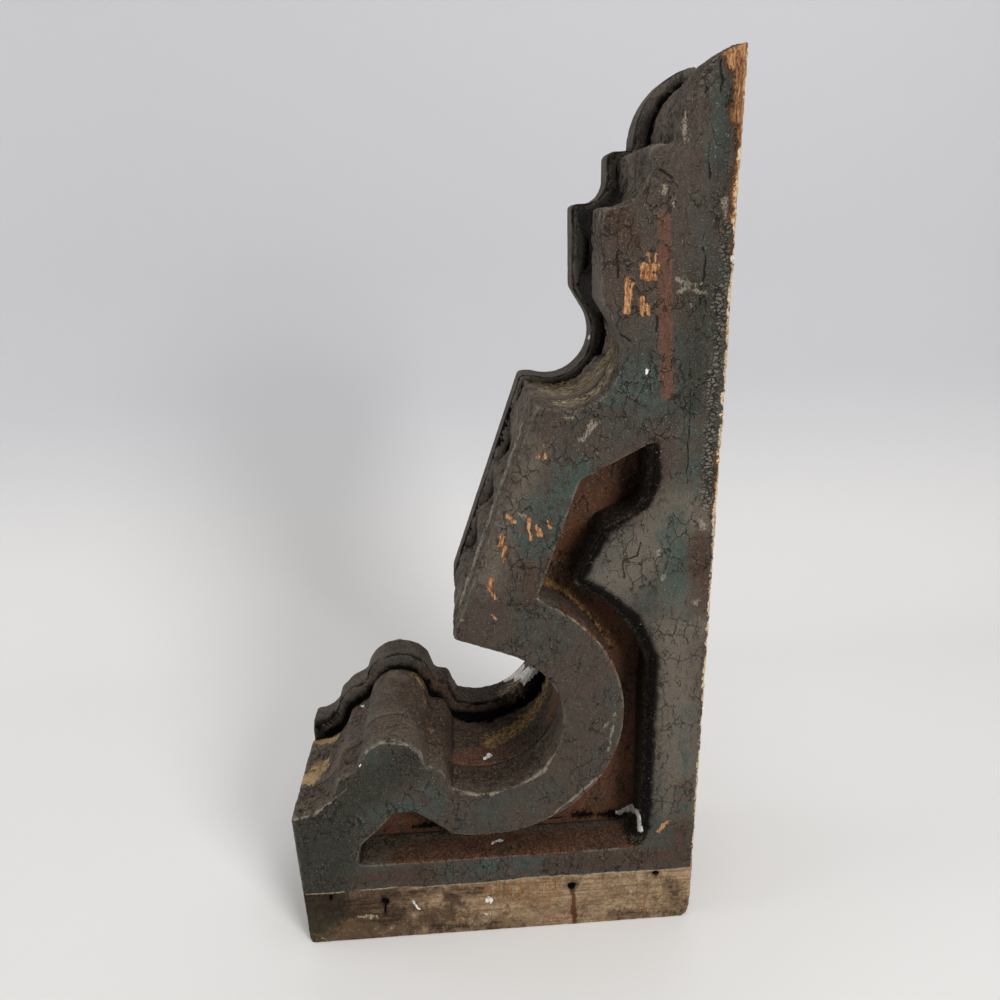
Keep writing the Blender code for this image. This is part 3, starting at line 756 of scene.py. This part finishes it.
# the thick middle board
coreLook = {
    "node": "core_board", "piece": "coreBoard", "slot": "brown_paint", "voxel": 0.0019, "seed": 31,
    "hidden": (-32.5, 38.5), "panelShown": True, "fairing": 3, "softening": 2,
    "arrisWear": 0.4, "waves": 0.8, "grit": 0.12,
    "sunk": (("bare", 0.6),), "crackSide": 38.5, "seamShare": 0.9, "rim": (),
    # x, z, width of the eaten strip, depth
    "crack": ((152, 696, 4, 3), (140, 690, 7, 5), (128, 665, 11, 8), (112, 640, 12, 9), (98, 615, 12, 9),
              (84, 590, 12, 8), (84, 556, 12, 8), (95, 520, 11, 8), (80, 486, 11, 7), (52, 478, 8, 6),
              (30, 450, 3, 3), (5, 385, 3, 3), (-20, 320, 3, 3), (60, 240, 11, 7), (45, 175, 9, 6),
              (0, 156, 7, 5), (-45, 180, 3.5, 3), (-85, 213, 2.2, 2), (-118, 185, 6, 5), (-140, 150, 9, 7),
              (-165, 142, 5, 3)),
    "rough": (((150, 3, 697), (84, 3, 600), 34.0), ((40, 10, 470), (-40, 10, 300), 30.0),
              ((66, 20, 479), (100, 20, 502), 20.0), ((60, 10, 200), (20, 25, 160), 16.0),
              ((-168, 0, 140), (-120, 10, 180), 12.0)),
    "bare": (((62, -32.5, 322), (77, -32.5, 307), 2.0), ((77, -32.5, 307), (94, -32.5, 285), 2.6),
             ((94, -32.5, 285), (110, -32.5, 272), 1.6), ((44, -32.5, 330), (64, -32.5, 323), 3.6)),
    "fibre": (((62, -4, 478), (84, -12, 486), 15.0), ((84, -12, 486), (102, -8, 504), 14.0)),
    "melt": (((-60, -30, 178), (-38, -30, 186), 18.0), ((-60, 36, 180), (-38, 36, 190), 18.0),
             ((-60, 0, 180), (-38, 0, 188), 18.0), ((-128, -30, 166), (-118, -30, 186), 14.0),
             ((-128, 0, 166), (-118, 0, 186), 14.0), ((-128, 30, 166), (-118, 30, 186), 14.0),
             ((20, -15, 440), (-45, -15, 290), 14.0), ((20, 15, 440), (-45, 15, 290), 14.0)),
    "meltRounds": 24,
    # painted highlight on the straw fibres of the cove
    "scuff": (((74, -12, 481), (92, -20, 495), 2.4), ((64, -6, 479), (78, -14, 483), 1.4)),
    "blond": (((-168, 34, 142), (-150, 26, 150), 6.5), ((-163, -20, 142), (-157, -8, 144), 9.5)),
    "gold": (((46, -32.5, 329), (66, -32.5, 321), 3.0), ((66, -32.5, 318), (94, -32.5, 284), 0.4),
             ((96, -32.5, 280), (108, -32.5, 262), 0.5), ((44, 22, 474), (78, 22, 481), 4.0),
             ((-70, 30, 212), (-62, 26, 204), 2.0), ((-58, 8, 197), (-54, -24, 184), 1.5),
             ((0, 0, 156), (36, 8, 172), 10.0), ((40, 10, 180), (50, 20, 200), 8.0)),
    "white": (((-7, -24, 154), (-5, -19, 155), 1.9), ((-8, -24, 154), (-2, -22, 154), 1.2),
              ((-121, 25, 183), (-119, 24, 184), 1.4), ((113, -32.5, 91), (119, -32.5, 94), 2.8),
              ((119, -32.5, 94), (125, -32.5, 97), 3.4), ((34, 36, 184), (44, 30, 198), 3.5)),
    "slit": (((-58, 20, 198), (-56, -30, 186), 1.8), ((60, -32.5, 320), (76, -32.5, 305), 1.2),
             ((76, -32.5, 305), (96, -32.5, 279), 1.2), ((20, -32.5, 90), (60, -32.5, 90), 1.2)),
    # painted shade: black on the core's recessed face at the fillet, between the other two boards
    "smoke": (((90, -12, 608), (84, -12, 546), 25.0), ((90, 20, 608), (84, 20, 546), 30.0),
              ((108, 32, 634), (92, 30, 606), 14.0)),
    # partly darker paint, partly painted shade
    "gloom": (((-104, 0, 206), (-72, 0, 210), 22.0),),
    # soot and painted shade in the joint and the cracks
    "sooty": (((84, 30, 548), (98, 34, 516), 14.0), ((38, 26, 473), (78, 26, 482), 8.0),
              ((70, -32.5, 92), (112, -32.5, 90), 3.4), ((-78, -32.5, 90), (-52, -32.5, 91), 2.8),
              ((-50, -32.5, 89), (-30, -32.5, 89), 1.8)),
    "umber": (((-48, 0, 170), (60, 0, 200), 60.0), ((-30, 0, 150), (30, 0, 150), 50.0)),
    "panel": (((-70, -32, 100), (118, -32, 100), 60.0), ((108, -32, 105), (108, -32, 300), 60.0),
              ((82, -32, 338), (118, -32, 436), 50.0)),
    "colours": {"panelSidesOnly": 0.0, "frontBand": 0.0, "edgeWarm": shade(104, 90, 79),
                "edgeDark": shade(80, 71, 63), "fleckDark": shade(56, 49, 43)},
}

# the far board
rimLook = {
    "node": "rim_board", "piece": "rimBoard", "slot": "grimed_paint", "voxel": 0.0018, "seed": 51,
    "hidden": (38.8,), "panelShown": False, "fairing": 3, "softening": 2,
    "arrisWear": 0.6, "waves": 0.6, "grit": 0.08,
    "sunk": (), "crackSide": 38.8, "seamShare": 0.6,
    # x, z, how far in from the arris the inner face turns black
    "rim": ((150, 700, 6), (128, 665, 9), (98, 615, 12), (84, 590, 10), (84, 545, 9), (95, 520, 9),
            (60, 482, 8), (30, 450, 9), (-20, 320, 9), (40, 170, 9), (0, 150, 8), (-50, 190, 9.5),
            (-85, 213, 10), (-140, 150, 8)),
    "rimShown": 27.0,
    "crack": ((140, 690, 2, 1), (112, 640, 3, 2), (84, 590, 3, 1.5), (30, 450, 1.5, 1), (30, 165, 5, 3),
              (0, 156, 3, 2), (-85, 213, 2, 1), (-130, 165, 3, 2), (-150, 146, 7, 5), (-165, 142, 8, 7)),
    "red": (((80, 48, 595), (80, 43, 552), 2.4),),
    # painted light: a lit strip on the far board beside the joint along the slope
    "light": (((42, 39, 470), (-52, 39, 278), 12.0), ((80, 39, 600), (82, 39, 540), 3.0)),
    # soot and painted shade in the gap along the slope
    "sooty": (((27, 41, 457), (14, 41, 423), 2.6), ((14, 41, 423), (-4, 41, 376), 2.0),
              ((-4, 41, 376), (-20, 43, 328), 2.6)),
    "melt": (((-64, 40, 190), (-36, 40, 196), 16.0), ((-64, 68, 190), (-36, 68, 196), 16.0),
             ((-130, 40, 170), (-120, 40, 190), 14.0), ((-130, 68, 170), (-120, 68, 190), 14.0)),
    "meltRounds": 24,
    "gnawed": (((166, 39, 702), (139, 39, 665), 3.0), ((139, 39, 665), (83, 39, 590), 3.0)),
    "bare": (((-168, 42, 141), (-150, 40, 146), 4.0),),
    "fibre": (((40, 50, 192), (20, 50, 168), 8.0),),
    # a few marks on the far face
    "chip": (((120, 68.8, 480), (123, 68.8, 466), 1.8), ((60, 68.8, 330), (66, 68.8, 322), 1.6),
             ((-90, 68.8, 120), (-84, 68.8, 116), 1.8), ((150, 68.8, 240), (150, 68.8, 226), 1.4)),
    "scuff": (((20, 68.8, 250), (60, 68.8, 262), 1.2), ((100, 68.8, 560), (112, 68.8, 540), 1.2),
              ((-120, 68.8, 90), (-80, 68.8, 84), 1.4), ((140, 68.8, 120), (146, 68.8, 150), 1.4)),
    "teal": (((60, 68.8, 120), (110, 68.8, 190), 16.0), ((110, 68.8, 600), (140, 68.8, 500), 14.0)),
    "slit": (((150, 68.8, 360), (151, 68.8, 280), 0.7), ((100, 68.8, 430), (99, 68.8, 380), 0.6)),
    "white": (((20, 66, 174), (34, 62, 190), 4.6), ((28, 56, 184), (38, 46, 196), 5.0),
              ((34, 44, 188), (42, 39, 200), 4.6), ((90, 60, 508), (96, 50, 512), 1.4)),
    "umber": (((-48, 60, 170), (60, 60, 200), 50.0),),
    "colours": {"edgeWarm": shade(84, 74, 66), "edgeDark": shade(62, 57, 50), "dust": 0.4, "frontBand": 0.0,
                "topWarm": shade(84, 73, 63), "topCool": shade(72, 72, 66),
                "topPurple": shade(76, 62, 56), "topLight": shade(138, 130, 118),
                "whiteShade": shade(222, 216, 206), "whiteColour": shade(248, 246, 241)},
}

for look in (scrollLook, coreLook, rimLook):
    build(look)

# floor, light and camera
studio = {
    "floorColour": shade(232, 230, 227), "wallColour": shade(199, 199, 202),
    "cameraPlace": (-0.0088, -0.5741, 0.6008), "cameraTurn": (69.855, 1.954, -3.126), "lens": 26.98,
    "keyPlace": (1.3, -2.0, 1.4), "keySize": 1.0, "keyPower": 49.0,
    "fillPlace": (-2.2, 0.0, 1.1), "fillSize": 1.8, "fillPower": 20.0,
    "topPlace": (0.3, -0.6, 2.5), "topSize": 1.8, "topPower": 22.0,
    "air": shade(196, 196, 198), "airStrength": 0.2,
    "floorSize": (3.0, 2.0, 1.0), "floorPlace": (0.0, -1.1, 0.0), "wallHeight": 2.6, "bend": 0.55,
    "aim": (0.0, 0.0, 0.35),  # what the lights look at
}


def makeSweep():
    work = bmesh.new()
    bmesh.ops.create_grid(work, x_segments=1, y_segments=1, size=1.0)
    bmesh.ops.scale(work, vec=studio["floorSize"], verts=work.verts)
    bmesh.ops.translate(work, vec=studio["floorPlace"], verts=work.verts)
    rear = [e for e in work.edges if all(v.co.y > 0 for v in e.verts)]
    raised = bmesh.ops.extrude_edge_only(work, edges=rear)["geom"]
    raised = [part for part in raised if isinstance(part, bmesh.types.BMVert)]
    bmesh.ops.translate(work, vec=(0.0, 0.0, studio["wallHeight"]), verts=raised)
    bmesh.ops.bevel(work, geom=rear, affect="EDGES", offset=studio["bend"], segments=24,
                    profile=0.5, material=-1)
    mesh = bpy.data.meshes.new("sweep")
    work.to_mesh(mesh)
    work.free()
    for face in mesh.polygons:
        face.use_smooth = True
    sweep = bpy.data.objects.new("sweep", mesh)
    bpy.context.scene.collection.objects.link(sweep)
    f = Finish("paleSweep")
    height = f.axes(f.place)[2]
    colour = f.mix(f.step(height, -0.05, 0.35), studio["floorColour"], studio["wallColour"])
    shader = f.put("ShaderNodeBsdfPrincipled", None, {"Base Color": colour, "Roughness": 0.85})
    f.put("ShaderNodeOutputMaterial", None, {"Surface": shader})
    mesh.materials.append(f.material)


def softLight(name):
    lamp = bpy.data.lights.new(name + "Light", "AREA")
    lamp.shape = "DISK"
    lamp.size = studio[name + "Size"]
    lamp.energy = studio[name + "Power"]
    holder = bpy.data.objects.new(name + "Light", lamp)
    place = studio[name + "Place"]
    holder.location = place
    holder.rotation_euler = (Vector(studio["aim"]) - Vector(place)).to_track_quat("-Z", "Y").to_euler()
    bpy.context.scene.collection.objects.link(holder)


makeSweep()
for name in ("key", "fill", "top"):
    softLight(name)
world = bpy.data.worlds.new("air")
bpy.context.scene.world = world
world.use_nodes = True
air = world.node_tree.nodes["Background"]
air.inputs["Color"].default_value = (*studio["air"], 1.0)
air.inputs["Strength"].default_value = studio["airStrength"]
camera = bpy.data.objects.new("camera", bpy.data.cameras.new("camera"))
camera.location = studio["cameraPlace"]
camera.rotation_euler = [math.radians(a) for a in studio["cameraTurn"]]
camera.data.lens = studio["lens"]
camera.data.sensor_width = 36.0
camera.data.clip_start = 0.05
bpy.context.scene.collection.objects.link(camera)
bpy.context.scene.camera = camera
bpy.context.scene.view_settings.view_transform = "Standard"
print("floor, light and camera are in place")
